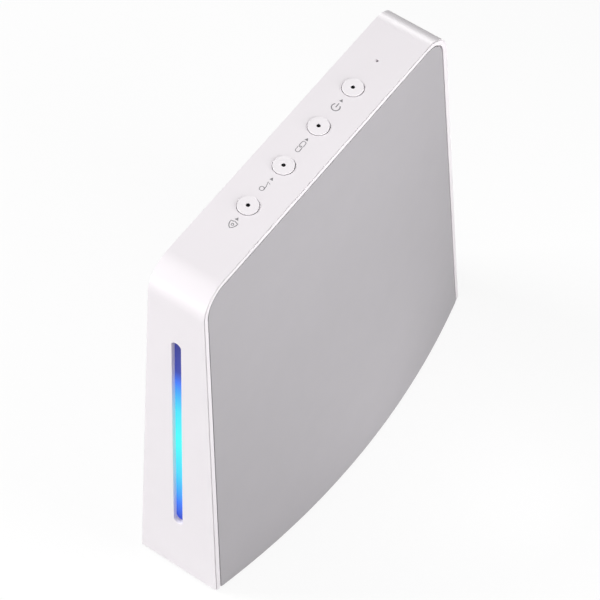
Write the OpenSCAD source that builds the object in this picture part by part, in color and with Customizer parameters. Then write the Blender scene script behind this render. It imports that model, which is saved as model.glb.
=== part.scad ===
// Smart home hub: a tall slim free-standing box with a white band, grey bowed sides,
// a light slot in the front and four buttons on the top.
// Millimetres, +Z up. The origin is on the floor under the middle, and the front faces -Y.

/* [Body] */
// Overall height, feet included
height = 108; // [104:0.5:114]
// Length of the base from front to rear
base_length = 99.7; // [97:0.1:104]
// Length of the top before its corners are rounded
top_length = 87; // [84:0.1:90]
// Width of the top
top_width = 13.8; // [13.8:0.1:16]
// Width of the base at its front and rear ends
base_end_width = 21.4; // [21:0.1:24]
// Width of the base at the middle, where the sides bow out
base_mid_width = 33.9; // [31:0.1:37]
// Radius of the two top corners seen from the side
corner_radius = 7.2; // [6.5:0.1:9]

/* [Shell] */
// Thickness of the band
wall = 1.6; // [1.4:0.1:1.8]
// Width of the white rim around a side panel
rim = 1.35; // [1.1:0.05:1.8]
// Thickness of the rim where it caps the edge of the band
rim_cap = 0.25; // [0.2:0.05:0.5]
// Fine groove between the rim and the band
groove = 0.12; // [0.1:0.02:0.2]
// Thickness of a grey side panel
panel_thickness = 0.8; // [0.6:0.1:1]
// Thickness of a side cover behind its panel
cover_floor = 1.2; // [1:0.1:1.4]
// Clearance between moulded pieces
fit = 0.15; // [0.1:0.05:0.2]

/* [Light slot] */
// Length of the slot, round ends included
slot_length = 69; // [60:1:70]
// Width of the slot
slot_width = 2.5; // [2.2:0.1:3]
// Height of the middle of the slot above the floor
slot_middle = 54.25; // [53:0.05:56]
// How far the diffuser lies behind the front
slot_recess = 1; // [0.8:0.05:1.4]

/* [Buttons] */
// Diameter of a button
button_diameter = 4.7; // [4.4:0.1:5.6]
// Gap around a button
button_gap = 0.2; // [0.1:0.05:0.25]
// Distance from one button to the next
button_pitch = 12.5; // [11:0.05:13]
// Place of the middle of the row, towards the rear
button_row_middle = 0; // [-1:0.01:2]
// How far the middle of a button stands above the top
button_proud = 0.3; // [0.05:0.05:0.4]
// How far a button can be pressed
button_travel = 0.4; // [0.2:0.05:0.4]
// Diameter of the dark window in a button
dot_diameter = 0.9; // [0.7:0.05:1.3]
// Diameter of the microphone hole
mic_hole_diameter = 0.7; // [0.5:0.05:1]
// Place of the microphone hole, towards the rear
mic_place = 27.7; // [27:0.1:29]

/* [Rear sockets] */
// Height of the middle of the network socket above the floor
rj45_middle = 19; // [18:0.5:20]
// Height of the middle of the USB-A socket above the floor
usb_a_middle = 43; // [40:0.5:46]
// Height of the middle of the USB-C socket above the floor
usb_c_middle = 64; // [60:0.5:68]

/* [Underside] */
// Height of the feet below the walls
foot_stand = 0.6; // [0.4:0.1:0.9]
// Diameter of a foot
foot_diameter = 8; // [6:0.5:9]

/* [Hidden] */
$fn = 64;
body_height = height - foot_stand;
lean = atan((base_length - top_length) / 2 / body_height);
inner_top = height - wall;
panel_set = 0.05;
panel_gap = 0.25;
cut_width = 60;
pocket = panel_set + panel_thickness;
cover_depth = pocket + cover_floor;
lip = 0.7;
lap_gap = 0.1;
side_columns = 24;
side_rows = 6;

board_thickness = 1;
board_face = board_thickness / 2;
screw_clearance = 0.05;
socket_clearance = 0.2;
socket_sink = 0.2;
rj45_width = 16;
rj45_height = 13.4;
rj45_depth = 21;
rj45_front = half_length(rj45_middle + rj45_width / 2) - socket_sink;
rj45_plug_depth = 14;
rj45_plug_width = 11.9;
rj45_plug_height = 6.9;
rj45_plug_bottom = 4.6;
rj45_latch_widths = [6.4, 3.2];
rj45_latch_tops = [4.4, 5.6];
rj45_contact_length = 10;
rj45_contact_pitch = 1.02;
rj45_contact_width = 0.45;
rj45_contact_thickness = 0.5;
usb_a_width = 13.2;
usb_a_height = 5.9;
usb_a_depth = 14;
usb_a_front = half_length(usb_a_middle + usb_a_width / 2) - socket_sink;
usb_a_shell = 0.35;
usb_a_back = 1;
usb_a_tongue_width = 11.1;
usb_a_tongue_thickness = 1.85;
usb_a_tongue_shift = 1.95;
usb_a_tongue_sink = 0.8;
usb_c_width = 8.94;
usb_c_height = 3.26;
usb_c_depth = 7.4;
usb_c_front = half_length(usb_c_middle + usb_c_width / 2) - socket_sink;
usb_c_shell = 0.35;
usb_c_back = 0.8;
usb_c_tongue_width = 6.7;
usb_c_tongue_thickness = 0.7;
usb_c_tongue_sink = 0.6;
ear_thickness = 0.5;
ear_reach = 1.8;
ear_length = 5;

base_thickness = 2;
base_bottom = foot_stand + 0.5;
base_top = base_bottom + base_thickness;
base_boss_radius = 2.5;
base_boss_top = rj45_middle - rj45_width / 2 - 2 * socket_clearance;
base_boss_roof = 1.5;
base_boss_x = 5;
base_screw_radius = 1;
base_head_radius = 1.9;
base_head_height = 0.9;
base_head_sink = 1;
base_screw_tip_gap = 0.5;
base_screw_tip = base_boss_top - base_boss_roof - base_screw_tip_gap;
foot_sink = 0.4;
foot_x = 8.5;
foot_from_end = 23.77;
foot_y = half_length(base_bottom) - foot_from_end;
vent_length = 10;
vent_width = 1.6;
vent_pitch = 3.5;
vent_from_foot = 3;
vent_places = [for (i = [0:2]) foot_y + foot_diameter / 2 + vent_from_foot + i * vent_pitch];
ballast_half_width = 9;
ballast_half_length = 19;
ballast_height = 4;
ballast_pin_radius = 1.5;
ballast_pin_y = 14;

small_screw_radius = 0.8;
small_head_radius = 1.5;
small_head_height = 0.9;
small_boss_radius = 1.9;

diffuser_half_width = 3.2;
diffuser_half_length = slot_length / 2 + 1.2;
diffuser_skirt = 0.7;
diffuser_face = 1;
light_board_depth = wall + 3.6;
light_board_back = light_board_depth + board_thickness;
light_board_half_width = 3.5;
light_boss_place = diffuser_half_length + small_boss_radius + 0.7;
light_board_half_length = light_boss_place + 2.4;
led_count = 8;
led_pitch = 8;
led_width = 2.8;
led_length = 3.5;
led_height = 1;
link_length = 8;
link_width = 3;
link_depth = 3.4;
link_bottom = slot_middle - light_boss_place + small_head_radius + 0.7;

button_radius = button_diameter / 2;
button_places = [for (i = [0:3]) button_row_middle + (i - 1.5) * button_pitch];
button_dome_radius = 60;
button_screw_reach = 5;
flange_radius = button_radius + 0.7;
flange_height = 0.7;
flange_gap = 0.1;
flange_top = inner_top - flange_gap;
stem_radius = 1.2;
button_board_top = inner_top - 7.8;
button_board_bottom = button_board_top - board_thickness;
button_board_half_width = 4.2;
button_board_front = button_places[0] - 14.5;
button_board_rear = mic_place + 11.5;
button_boss_front = button_places[0] - 11;
button_boss_rear = mic_place + 8;
switch_side = 4.5;
switch_height = 1.8;
switch_floor = 0.6;
plunger_radius = 1.05;
plunger_bottom = button_board_top + switch_floor + button_travel + 0.1;
stem_bottom = button_board_top + switch_height + button_travel + 0.4;
mic_width = 3;
mic_length = 3.6;
mic_height = 1;
gasket_radius = 1.8;
gasket_bore = 1.2;

main_bottom = base_top + ballast_height + 1.9;
main_top = button_board_bottom - 3.6;
main_front = -36;
main_rear = inner_end(main_top) - 0.6;
tab_bottom = link_bottom - 2;
tab_top = link_bottom + link_length + 1;
tab_end = -half_length(tab_top) + light_board_back + 0.8;
header_length = 12;
header_width = 2.5;
header_overlap = 4;

post_radius = 2.2;
post_pin_radius = 1;
post_pin_reach = 6;
post_inset = 6;
post_front = main_front + 5;
post_rear = rj45_front - rj45_depth - post_inset - 1;
post_low = main_bottom + post_inset;
post_high = main_top - post_inset;
post_places = [
    [post_front, post_low], [post_front, post_high],
    [main_rear - post_inset, post_high], [post_rear, post_low]
];

soc_side = 24;
soc_height = 2.4;
soc_drop = 36;
soc_middle = main_top - soc_drop;
pad_side = 20;
pad_thickness = 1;
spreader_length = 44;
spreader_height = 40;
spreader_thickness = 1.2;
spreader_leg = 2;
spreader_face = board_face + soc_height + pad_thickness;
radio_length = 20;
radio_height = 18;
radio_thickness = 2.2;
radio_shift = -1;
radio_drop = 25;
radio_middle = main_top - radio_drop;
antenna_length = 15;
antenna_height = 5.5;
antenna_sheet = 0.4;
antenna_stand = 3;
antenna_place = 18.5;
antenna_drop = 10;
antenna_bottom = main_top - antenna_drop;
antenna_leg = 0.8;
antenna_leg_pitch = 5;
buzzer_radius = 6;
buzzer_height = 5;
buzzer_place = -16;
buzzer_rise = 25;
capacitor_radius = 2.5;
capacitor_height = 7;
capacitor_pitch = 7;
capacitor_place = 3;
capacitor_rise = 15;

// Half the outer length at height z
function half_length(z) = base_length / 2 - (z - foot_stand) * tan(lean);

// Distance of the inner face of the front or rear wall from the middle at height z
function inner_end(z) = half_length(z) - wall / cos(lean);

// Height z as a share of the walls' height
function share(z) = (z - foot_stand) / body_height;

// Half the width at the front and rear ends at height z
function end_half(z) = base_end_width / 2 + (top_width - base_end_width) / 2 * share(z);

// How far the side bows out between its ends at height z
function bow(z) = (base_mid_width - base_end_width) / 2 * (1 - share(z));

// Half the outer width at length y and height z
function flank(y, z) = end_half(z) + bow(z) * (1 - pow(y / half_length(z), 2));

// Points of one side surface moved inwards, a little beyond the body all round
function side_grid(side, inset) = [
    for (row = [0:side_rows])
        for (column = [0:side_columns])
            let (z = foot_stand + body_height * (-0.03 + 1.06 * row / side_rows))
            let (y = half_length(z) * (-1.06 + 2.12 * column / side_columns))
            [side * (flank(y, z) - inset), y, z]
];

// Index of a grid point: layer 0 is the +X surface, layer 1 the -X surface
function at(layer, row, column) = (layer * (side_rows + 1) + row) * (side_columns + 1) + column;

// Closed solid between two side surfaces
module between_sides(plus_x, minus_x) {
    last_row = side_rows;
    last_column = side_columns;
    rows = [0:side_rows - 1];
    columns = [0:side_columns - 1];
    polyhedron(
        points = concat(plus_x, minus_x),
        faces = concat(
            [for (r = rows) for (c = columns) [at(0, r, c), at(0, r + 1, c), at(0, r + 1, c + 1)]],
            [for (r = rows) for (c = columns) [at(0, r, c), at(0, r + 1, c + 1), at(0, r, c + 1)]],
            [for (r = rows) for (c = columns) [at(1, r, c), at(1, r + 1, c + 1), at(1, r + 1, c)]],
            [for (r = rows) for (c = columns) [at(1, r, c), at(1, r, c + 1), at(1, r + 1, c + 1)]],
            [for (r = rows) [at(1, r, 0), at(1, r + 1, 0), at(0, r + 1, 0), at(0, r, 0)]],
            [for (r = rows) [at(0, r, last_column), at(0, r + 1, last_column),
                             at(1, r + 1, last_column), at(1, r, last_column)]],
            [for (c = columns) [at(0, 0, c), at(0, 0, c + 1), at(1, 0, c + 1), at(1, 0, c)]],
            [for (c = columns) [at(1, last_row, c), at(1, last_row, c + 1),
                                at(0, last_row, c + 1), at(0, last_row, c)]]
        ),
        convexity = 4
    );
}

// Whole body seen from above, moved inwards on both sides
module core(inset) {
    between_sides(side_grid(1, inset), side_grid(-1, inset));
}

// Layer of the +X side between two depths
module side_layer(outer, inner) {
    between_sides(side_grid(1, outer), side_grid(1, inner));
}

// Outline of the hub seen from the side, moved inwards all round but at the bottom
module profile(inset, bottom) {
    radius = corner_radius - inset;
    top = height - inset;
    centre_z = top - radius;
    centre_y = half_length(centre_z) - (inset + radius) / cos(lean);
    tangent_y = centre_y + radius * cos(lean);
    tangent_z = centre_z + radius * sin(lean);
    bottom_y = half_length(bottom) - inset / cos(lean);
    polygon([
        [-bottom_y, bottom], [bottom_y, bottom],
        [tangent_y, tangent_z], [centre_y, top],
        [-centre_y, top], [-tangent_y, tangent_z]
    ]);
    for (side = [-1, 1])
        translate([side * centre_y, centre_z])
            circle(r = radius);
}

// The side outline drawn out across the hub
module prism(inset, bottom) {
    rotate([90, 0, 90])
        linear_extrude(height = cut_width, center = true)
            profile(inset, bottom);
}

// Box from two opposite corners
module block(low, high) {
    translate(low)
        cube(high - low);
}

// Cylinder along X from one place to another
module rod_x(radius, from, to, y, z) {
    translate([from, y, z])
        rotate([0, 90, 0])
            cylinder(r = radius, h = to - from);
}

// Cylinder along +Y, used on the front wall where +Y runs into the hub
module rod_y(radius, from, to, z) {
    translate([0, from, z])
        rotate([-90, 0, 0])
            cylinder(r = radius, h = to - from);
}

// Places its children on the leaning front: Y = 0 on the outer face, Z = 0 at the slot's middle
module on_front() {
    translate([0, -half_length(slot_middle), slot_middle])
        rotate([-lean, 0, 0])
            children();
}

// Round-ended bar that fills the light slot
module slot_bar(width, length, from, to) {
    straight = (length - width) / 2;
    block([-width / 2, from, -straight], [width / 2, to, straight]);
    for (end = [-straight, straight])
        rod_y(width / 2, from, to, end);
}

// Places its children at the four screws of the base
module at_base_screws() {
    for (x = [-base_boss_x, base_boss_x])
        for (side = [-1, 1])
            translate([x, side * (inner_end(base_boss_top) - base_boss_radius + 0.3), 0])
                children();
}

// Bosses for the base screws, tied into the front and rear walls
module base_bosses() {
    at_base_screws()
        translate([0, 0, base_top])
            cylinder(r = base_boss_radius, h = base_boss_top - base_top);
    rib_start = inner_end(base_boss_top) - base_boss_radius;
    rib_end = half_length(base_boss_top) - wall / 3;
    for (x = [-base_boss_x, base_boss_x])
        for (side = [-1, 1])
            translate([x, side * (rib_start + rib_end) / 2, (base_top + base_boss_top) / 2])
                cube([2, rib_end - rib_start, base_boss_top - base_top], center = true);
}

// Holes in the bosses of the base
module base_boss_holes() {
    at_base_screws()
        translate([0, 0, base_top - 1])
            cylinder(r = base_screw_radius + screw_clearance,
                     h = base_boss_top - base_boss_roof - base_top + 1);
}

// Bosses that hold the light board behind the front
module light_bosses() {
    on_front()
        for (side = [-1, 1])
            rod_y(small_boss_radius, wall - 0.4, light_board_depth, side * light_boss_place);
}

// Holes in the bosses of the light board
module light_boss_holes() {
    on_front()
        for (side = [-1, 1])
            rod_y(small_screw_radius + screw_clearance, wall + 0.6, light_board_depth + 1,
                  side * light_boss_place);
}

// Bosses that hang from the top and hold the button board
module button_bosses() {
    for (y = [button_boss_front, button_boss_rear])
        translate([0, y, button_board_top])
            cylinder(r = small_boss_radius, h = inner_top - button_board_top + 0.4);
}

// Holes in the bosses of the button board
module button_boss_holes() {
    for (y = [button_boss_front, button_boss_rear])
        translate([0, y, button_board_top - 1])
            cylinder(r = small_screw_radius + screw_clearance, h = 6);
}

// Holes for the buttons and the microphone in the top
module top_holes() {
    for (y = button_places)
        translate([0, y, inner_top - 1])
            cylinder(r = button_radius + button_gap, h = wall + 2);
    translate([0, mic_place, inner_top - 1])
        cylinder(r = mic_hole_diameter / 2, h = wall + 2);
}

// Openings for the sockets in the rear
module rear_openings() {
    gap = socket_clearance;
    rear_opening(rj45_height / 2 + gap, rj45_middle, rj45_width / 2 + gap);
    rear_opening(usb_a_height / 2 + gap, usb_a_middle, usb_a_width / 2 + gap);
    end_radius = usb_c_height / 2 + gap;
    end_place = usb_c_width / 2 - usb_c_height / 2;
    rear_opening(end_radius, usb_c_middle, end_place);
    for (side = [-1, 1])
        translate([0, inner_end(usb_c_middle) - 3, usb_c_middle + side * end_place])
            rotate([-90, 0, 0])
                cylinder(r = end_radius, h = 10);
}

// Square opening through the rear wall
module rear_opening(half_width, middle, half_height) {
    block([-half_width, inner_end(middle) - 3, middle - half_height],
          [half_width, inner_end(middle) + 7, middle + half_height]);
}

// White band: front, top and rear in one piece
module housing() {
    color("white")
        difference() {
            union() {
                difference() {
                    intersection() {
                        prism(0, foot_stand);
                        core(rim_cap + groove);
                    }
                    prism(wall, foot_stand - 3);
                    difference() {
                        prism(lip, foot_stand - 3);
                        core(cover_depth + fit);
                    }
                }
                base_bosses();
                light_bosses();
                button_bosses();
            }
            base_boss_holes();
            light_boss_holes();
            button_boss_holes();
            top_holes();
            rear_openings();
            on_front()
                slot_bar(slot_width, slot_length, -3, wall + 0.01);
        }
}

// Side cover without its posts: a tray with a rim that caps the band's edge
module cover_tray() {
    difference() {
        intersection() {
            prism(0, foot_stand);
            side_layer(0, cover_depth);
        }
        difference() {
            side_layer(rim_cap, cover_depth + 2);
            prism(lip + lap_gap, foot_stand - 9);
        }
        intersection() {
            prism(rim, foot_stand - 3);
            side_layer(-3, pocket);
        }
    }
}

// Post from the tray of a side cover to the main board
module cover_post(place) {
    rod_x(post_radius, board_face, flank(place[0], place[1]) - pocket - 0.7, place[0], place[1]);
}

// Left cover: its posts have bores for the pins of the right one
module cover_left() {
    color("white")
        mirror([1, 0, 0])
            difference() {
                union() {
                    cover_tray();
                    for (place = post_places)
                        cover_post(place);
                }
                for (place = post_places)
                    rod_x(post_pin_radius + screw_clearance, 0,
                          min(post_pin_reach, flank(place[0], place[1]) - cover_depth - 0.6),
                          place[0], place[1]);
            }
}

// Right cover: its pins go through the main board into the left cover
module cover_right() {
    color("white") {
        cover_tray();
        for (place = post_places) {
            cover_post(place);
            rod_x(post_pin_radius, 0.5 - min(post_pin_reach, flank(place[0], place[1]) - cover_depth - 0.6),
                  board_face + 1, place[0], place[1]);
        }
    }
}

// Grey panel that lies in the right cover
module side_panel() {
    intersection() {
        prism(rim + panel_gap, foot_stand);
        side_layer(panel_set, pocket);
    }
}

module panel_left() {
    color("silver")
        mirror([1, 0, 0])
            side_panel();
}

module panel_right() {
    color("silver")
        side_panel();
}

// Bottom plate between the walls
module base() {
    color("gainsboro") {
        difference() {
            intersection() {
                prism(wall + fit, base_bottom);
                core(cover_depth + fit);
                block([-cut_width / 2, -base_length, base_bottom], [cut_width / 2, base_length, base_top]);
            }
            at_base_screws() {
                cylinder(r = base_screw_radius + 0.15, h = base_top + 1);
                cylinder(r = base_head_radius + 0.2, h = base_bottom + base_head_sink);
            }
            at_feet()
                cylinder(r = foot_diameter / 2 + 0.05, h = base_bottom + foot_sink);
            for (place = vent_places)
                for (side = [-1, 1])
                    translate([0, side * place, base_bottom + base_thickness / 2])
                        cube([vent_length, vent_width, base_thickness + 2], center = true);
        }
        for (side = [-1, 1])
            translate([0, side * ballast_pin_y, base_top - 0.5])
                cylinder(r = ballast_pin_radius, h = ballast_height - 0.5);
    }
}

// Places its children at the four feet
module at_feet() {
    for (x = [-foot_x, foot_x])
        for (y = [-foot_y, foot_y])
            translate([x, y, 0])
                children();
}

// Rubber feet
module feet() {
    color("dimgray")
        at_feet()
            cylinder(r = foot_diameter / 2, h = base_bottom + foot_sink);
}

// Screws that hold the base, heads down
module base_screws() {
    color("darkgray")
        at_base_screws()
            translate([0, 0, base_bottom + base_head_sink - base_head_height]) {
                cylinder(r = base_head_radius, h = base_head_height);
                cylinder(r = base_screw_radius,
                         h = base_screw_tip - base_bottom - base_head_sink + base_head_height);
            }
}

// Steel weight on the base
module ballast() {
    color("slategray")
        difference() {
            block([-ballast_half_width, -ballast_half_length, base_top],
                  [ballast_half_width, ballast_half_length, base_top + ballast_height]);
            for (side = [-1, 1])
                translate([0, side * ballast_pin_y, base_top - 1])
                    cylinder(r = ballast_pin_radius + 0.1, h = ballast_height + 2);
        }
}

// Diffuser: a tongue in the slot and a trough over the lamps
module light_bar() {
    color("deepskyblue")
        on_front() {
            difference() {
                block([-diffuser_half_width, wall, -diffuser_half_length],
                      [diffuser_half_width, light_board_depth, diffuser_half_length]);
                block([-diffuser_half_width + diffuser_skirt, wall + diffuser_face,
                       -diffuser_half_length + diffuser_skirt],
                      [diffuser_half_width - diffuser_skirt, light_board_depth + 1,
                       diffuser_half_length - diffuser_skirt]);
            }
            slot_bar(slot_width - 0.1, slot_length - 0.1, slot_recess, wall + diffuser_face / 2);
        }
}

// Board that carries the lamps
module light_board() {
    color("darkgreen")
        on_front()
            difference() {
                block([-light_board_half_width, light_board_depth, -light_board_half_length],
                      [light_board_half_width, light_board_back, light_board_half_length]);
                for (side = [-1, 1])
                    rod_y(small_screw_radius + 0.15, light_board_depth - 1, light_board_back + 1,
                          side * light_boss_place);
            }
}

// Lamps in a row behind the diffuser
module leds() {
    color("ivory")
        on_front()
            for (i = [0:led_count - 1])
                translate([0, light_board_depth - led_height / 2, (i - (led_count - 1) / 2) * led_pitch])
                    cube([led_width, led_height, led_length], center = true);
}

// Screws of the light board
module light_screws() {
    color("darkgray")
        on_front()
            for (side = [-1, 1]) {
                rod_y(small_head_radius, light_board_back, light_board_back + small_head_height,
                      side * light_boss_place);
                rod_y(small_screw_radius, wall + 0.8, light_board_back + 0.2, side * light_boss_place);
            }
}

// Connector from the light board to the tab of the main board
module light_link() {
    color("ivory")
        on_front()
            block([board_face, light_board_back, link_bottom - slot_middle],
                  [board_face + link_width, light_board_back + link_depth,
                   link_bottom + link_length - slot_middle]);
}

// Button cap with a flange under the top and a stem down to its switch
module button_cap(y) {
    color("white")
        translate([0, y, 0])
            difference() {
                union() {
                    intersection() {
                        translate([0, 0, flange_top - flange_height / 2])
                            cylinder(r = button_radius, h = wall + 3);
                        translate([0, 0, height + button_proud - button_dome_radius])
                            sphere(r = button_dome_radius);
                    }
                    translate([0, 0, flange_top - flange_height])
                        cylinder(r = flange_radius, h = flange_height);
                    translate([0, 0, stem_bottom])
                        cylinder(r = stem_radius, h = flange_top - flange_height / 2 - stem_bottom);
                }
                translate([0, 0, height - wall])
                    cylinder(r = dot_diameter / 2 + 0.02, h = wall + 2);
            }
}

// Dark window in the middle of a button
module button_dot(y) {
    color("black")
        translate([0, y, height - wall])
            cylinder(r = dot_diameter / 2, h = wall + button_proud - 0.08);
}

// Plunger of the switch under a button
module button_plunger(y) {
    color("black")
        translate([0, y, plunger_bottom])
            cylinder(r = plunger_radius, h = stem_bottom - plunger_bottom);
}

module button_shield() { button_cap(button_places[0]); }
module button_note() { button_cap(button_places[1]); }
module button_chain() { button_cap(button_places[2]); }
module button_power() { button_cap(button_places[3]); }
module dot_shield() { button_dot(button_places[0]); }
module dot_note() { button_dot(button_places[1]); }
module dot_chain() { button_dot(button_places[2]); }
module dot_power() { button_dot(button_places[3]); }
module plunger_shield() { button_plunger(button_places[0]); }
module plunger_note() { button_plunger(button_places[1]); }
module plunger_chain() { button_plunger(button_places[2]); }
module plunger_power() { button_plunger(button_places[3]); }

// Board under the buttons
module button_board() {
    color("darkgreen")
        difference() {
            block([-button_board_half_width, button_board_front, button_board_bottom],
                  [button_board_half_width, button_board_rear, button_board_top]);
            for (y = [button_boss_front, button_boss_rear])
                translate([0, y, button_board_bottom - 1])
                    cylinder(r = small_screw_radius + 0.15, h = board_thickness + 2);
        }
}

// Switch bodies, each open at the top for its plunger
module switches() {
    color("gray")
        for (y = button_places)
            translate([0, y, button_board_top])
                difference() {
                    translate([0, 0, switch_height / 2])
                        cube([switch_side, switch_side, switch_height], center = true);
                    translate([0, 0, switch_floor])
                        cylinder(r = plunger_radius + 0.15, h = switch_height);
                }
}

// Screws of the button board, heads down
module button_screws() {
    color("darkgray")
        for (y = [button_boss_front, button_boss_rear])
            translate([0, y, button_board_bottom - small_head_height]) {
                cylinder(r = small_head_radius, h = small_head_height);
                cylinder(r = small_screw_radius, h = small_head_height + button_screw_reach);
            }
}

// Connector from the button board down to the main board
module button_header() {
    color("ivory")
        block([board_face, -header_length / 2, main_top - header_overlap],
              [board_face + header_width, header_length / 2, button_board_bottom]);
}

// Microphone under its hole
module microphone() {
    color("gold")
        translate([0, mic_place, button_board_top + mic_height / 2])
            cube([mic_width, mic_length, mic_height], center = true);
}

// Rubber sleeve from the microphone up to the top
module mic_gasket() {
    color("dimgray")
        translate([0, mic_place, button_board_top + mic_height])
            difference() {
                cylinder(r = gasket_radius, h = inner_top - button_board_top - mic_height);
                translate([0, 0, -1])
                    cylinder(r = gasket_bore / 2, h = inner_top);
            }
}

// Cut-out in the main board for a sunken socket
module socket_cut(front, depth, middle, width) {
    gap = socket_clearance;
    block([-5, front - depth - gap, middle - width / 2 - gap],
          [5, front + 9, middle + width / 2 + gap]);
}

// Ears of a sunken socket that lie on the main board
module socket_ears(front, depth, middle, width) {
    start = front - depth + 0.5;
    for (side = [-1, 1])
        translate([board_face + ear_thickness / 2, start + ear_length / 2,
                   middle + side * (width / 2 + ear_reach / 2 - 0.15)])
            cube([ear_thickness, ear_length, ear_reach + 0.3], center = true);
}

// Upright circuit board in the middle plane
module main_board() {
    color("darkgreen")
        difference() {
            rotate([90, 0, 90])
                linear_extrude(height = board_thickness, center = true)
                    polygon([
                        [main_front, main_bottom], [main_rear, main_bottom],
                        [main_rear, main_top], [main_front, main_top],
                        [main_front, tab_top], [tab_end, tab_top],
                        [tab_end, tab_bottom], [main_front, tab_bottom]
                    ]);
            for (place = post_places)
                rod_x(post_pin_radius + 0.2, -3, 3, place[0], place[1]);
            socket_cut(rj45_front, rj45_depth, rj45_middle, rj45_width);
            socket_cut(usb_a_front, usb_a_depth, usb_a_middle, usb_a_width);
            socket_cut(usb_c_front, usb_c_depth, usb_c_middle, usb_c_width);
        }
}

// Shield can over the processor
module soc_shield() {
    color("lightgray")
        translate([board_face + soc_height / 2, 0, soc_middle])
            cube([soc_height, soc_side, soc_side], center = true);
}

// Soft pad between the can and the spreader
module thermal_pad() {
    color("lightblue")
        translate([spreader_face - pad_thickness / 2, 0, soc_middle])
            cube([pad_thickness, pad_side, pad_side], center = true);
}

// Aluminium plate on four legs
module heat_spreader() {
    leg_y = (spreader_length - spreader_leg) / 2;
    leg_z = (spreader_height - spreader_leg) / 2;
    leg_height = spreader_face + spreader_thickness / 2 - board_face;
    color("lightgray") {
        translate([spreader_face + spreader_thickness / 2, 0, soc_middle])
            cube([spreader_thickness, spreader_length, spreader_height], center = true);
        for (y = [-leg_y, leg_y])
            for (z = [-leg_z, leg_z])
                translate([board_face + leg_height / 2, y, soc_middle + z])
                    cube([leg_height, spreader_leg, spreader_leg], center = true);
    }
}

// Shield can over the radio, on the other face of the board
module radio_shield() {
    color("lightgray")
        translate([-board_face - radio_thickness / 2, radio_shift, radio_middle])
            cube([radio_thickness, radio_length, radio_height], center = true);
}

// Stamped antenna on two legs
module antenna(middle) {
    from = middle - antenna_length / 2;
    sheet = board_face + antenna_stand;
    color("goldenrod") {
        block([sheet, from, antenna_bottom],
              [sheet + antenna_sheet, from + antenna_length, antenna_bottom + antenna_height]);
        for (y = [from, from + antenna_leg_pitch])
            block([board_face, y, antenna_bottom],
                  [sheet + antenna_sheet / 2, y + antenna_leg, antenna_bottom + antenna_sheet]);
    }
}

module antenna_front() { antenna(-antenna_place); }
module antenna_rear() { antenna(antenna_place); }

// Sounder for warnings
module buzzer() {
    color("black")
        rod_x(buzzer_radius, -board_face - buzzer_height, -board_face,
              buzzer_place, main_bottom + buzzer_rise);
}

// Capacitors of the power supply
module capacitors() {
    color("navy")
        for (i = [-1:1])
            rod_x(capacitor_radius, -board_face - capacitor_height, -board_face,
                  capacitor_place + i * capacitor_pitch, main_bottom + capacitor_rise);
}

// Network socket, laid on its side, its latch towards +X
module rj45_jack() {
    back = rj45_front - rj45_depth;
    plug_end = rj45_front - rj45_plug_depth;
    half = rj45_width / 2;
    color("black") {
        translate([0, 0, rj45_middle])
            difference() {
                block([-rj45_height / 2, back, -half], [rj45_height / 2, rj45_front, half]);
                block([-rj45_plug_bottom, plug_end, -rj45_plug_width / 2],
                      [rj45_plug_height - rj45_plug_bottom, rj45_front + 1, rj45_plug_width / 2]);
                for (i = [0:1])
                    block([0, plug_end, -rj45_latch_widths[i] / 2],
                          [rj45_latch_tops[i], rj45_front + 1, rj45_latch_widths[i] / 2]);
            }
        socket_ears(rj45_front, rj45_depth, rj45_middle, rj45_width);
    }
}

// Spring contacts of the network socket
module rj45_contacts() {
    color("gold")
        for (i = [0:7])
            translate([rj45_contact_thickness / 2 - rj45_plug_bottom,
                       rj45_front - rj45_plug_depth + rj45_contact_length / 2,
                       rj45_middle + (i - 3.5) * rj45_contact_pitch])
                cube([rj45_contact_thickness, rj45_contact_length, rj45_contact_width], center = true);
}

// Shell of the USB-A socket
module usb_a_socket() {
    back = usb_a_front - usb_a_depth;
    half_width = usb_a_width / 2;
    half_height = usb_a_height / 2;
    color("silver") {
        translate([0, 0, usb_a_middle])
            difference() {
                block([-half_height, back, -half_width], [half_height, usb_a_front, half_width]);
                block([-half_height + usb_a_shell, back + usb_a_back, -half_width + usb_a_shell],
                      [half_height - usb_a_shell, usb_a_front + 1, half_width - usb_a_shell]);
            }
        socket_ears(usb_a_front, usb_a_depth, usb_a_middle, usb_a_width);
    }
}

// Tongue of the USB-A socket
module usb_a_tongue() {
    color("black")
        block([-usb_a_tongue_shift, usb_a_front - usb_a_depth + usb_a_back,
               usb_a_middle - usb_a_tongue_width / 2],
              [usb_a_tongue_thickness - usb_a_tongue_shift, usb_a_front - usb_a_tongue_sink,
               usb_a_middle + usb_a_tongue_width / 2]);
}

// Round-ended bar along Y, used for the USB-C socket
module round_bar(width, height, from, to, middle) {
    straight = (width - height) / 2;
    block([-height / 2, from, middle - straight], [height / 2, to, middle + straight]);
    for (side = [-1, 1])
        rod_y(height / 2, from, to, middle + side * straight);
}

// Shell of the USB-C socket
module usb_c_socket() {
    back = usb_c_front - usb_c_depth;
    color("silver") {
        difference() {
            round_bar(usb_c_width, usb_c_height, back, usb_c_front, usb_c_middle);
            round_bar(usb_c_width - 2 * usb_c_shell, usb_c_height - 2 * usb_c_shell,
                      back + usb_c_back, usb_c_front + 1, usb_c_middle);
        }
        socket_ears(usb_c_front, usb_c_depth, usb_c_middle, usb_c_width);
    }
}

// Tongue of the USB-C socket
module usb_c_tongue() {
    color("black")
        block([-usb_c_tongue_thickness / 2, usb_c_front - usb_c_depth + usb_c_back,
               usb_c_middle - usb_c_tongue_width / 2],
              [usb_c_tongue_thickness / 2, usb_c_front - usb_c_tongue_sink,
               usb_c_middle + usb_c_tongue_width / 2]);
}

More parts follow.
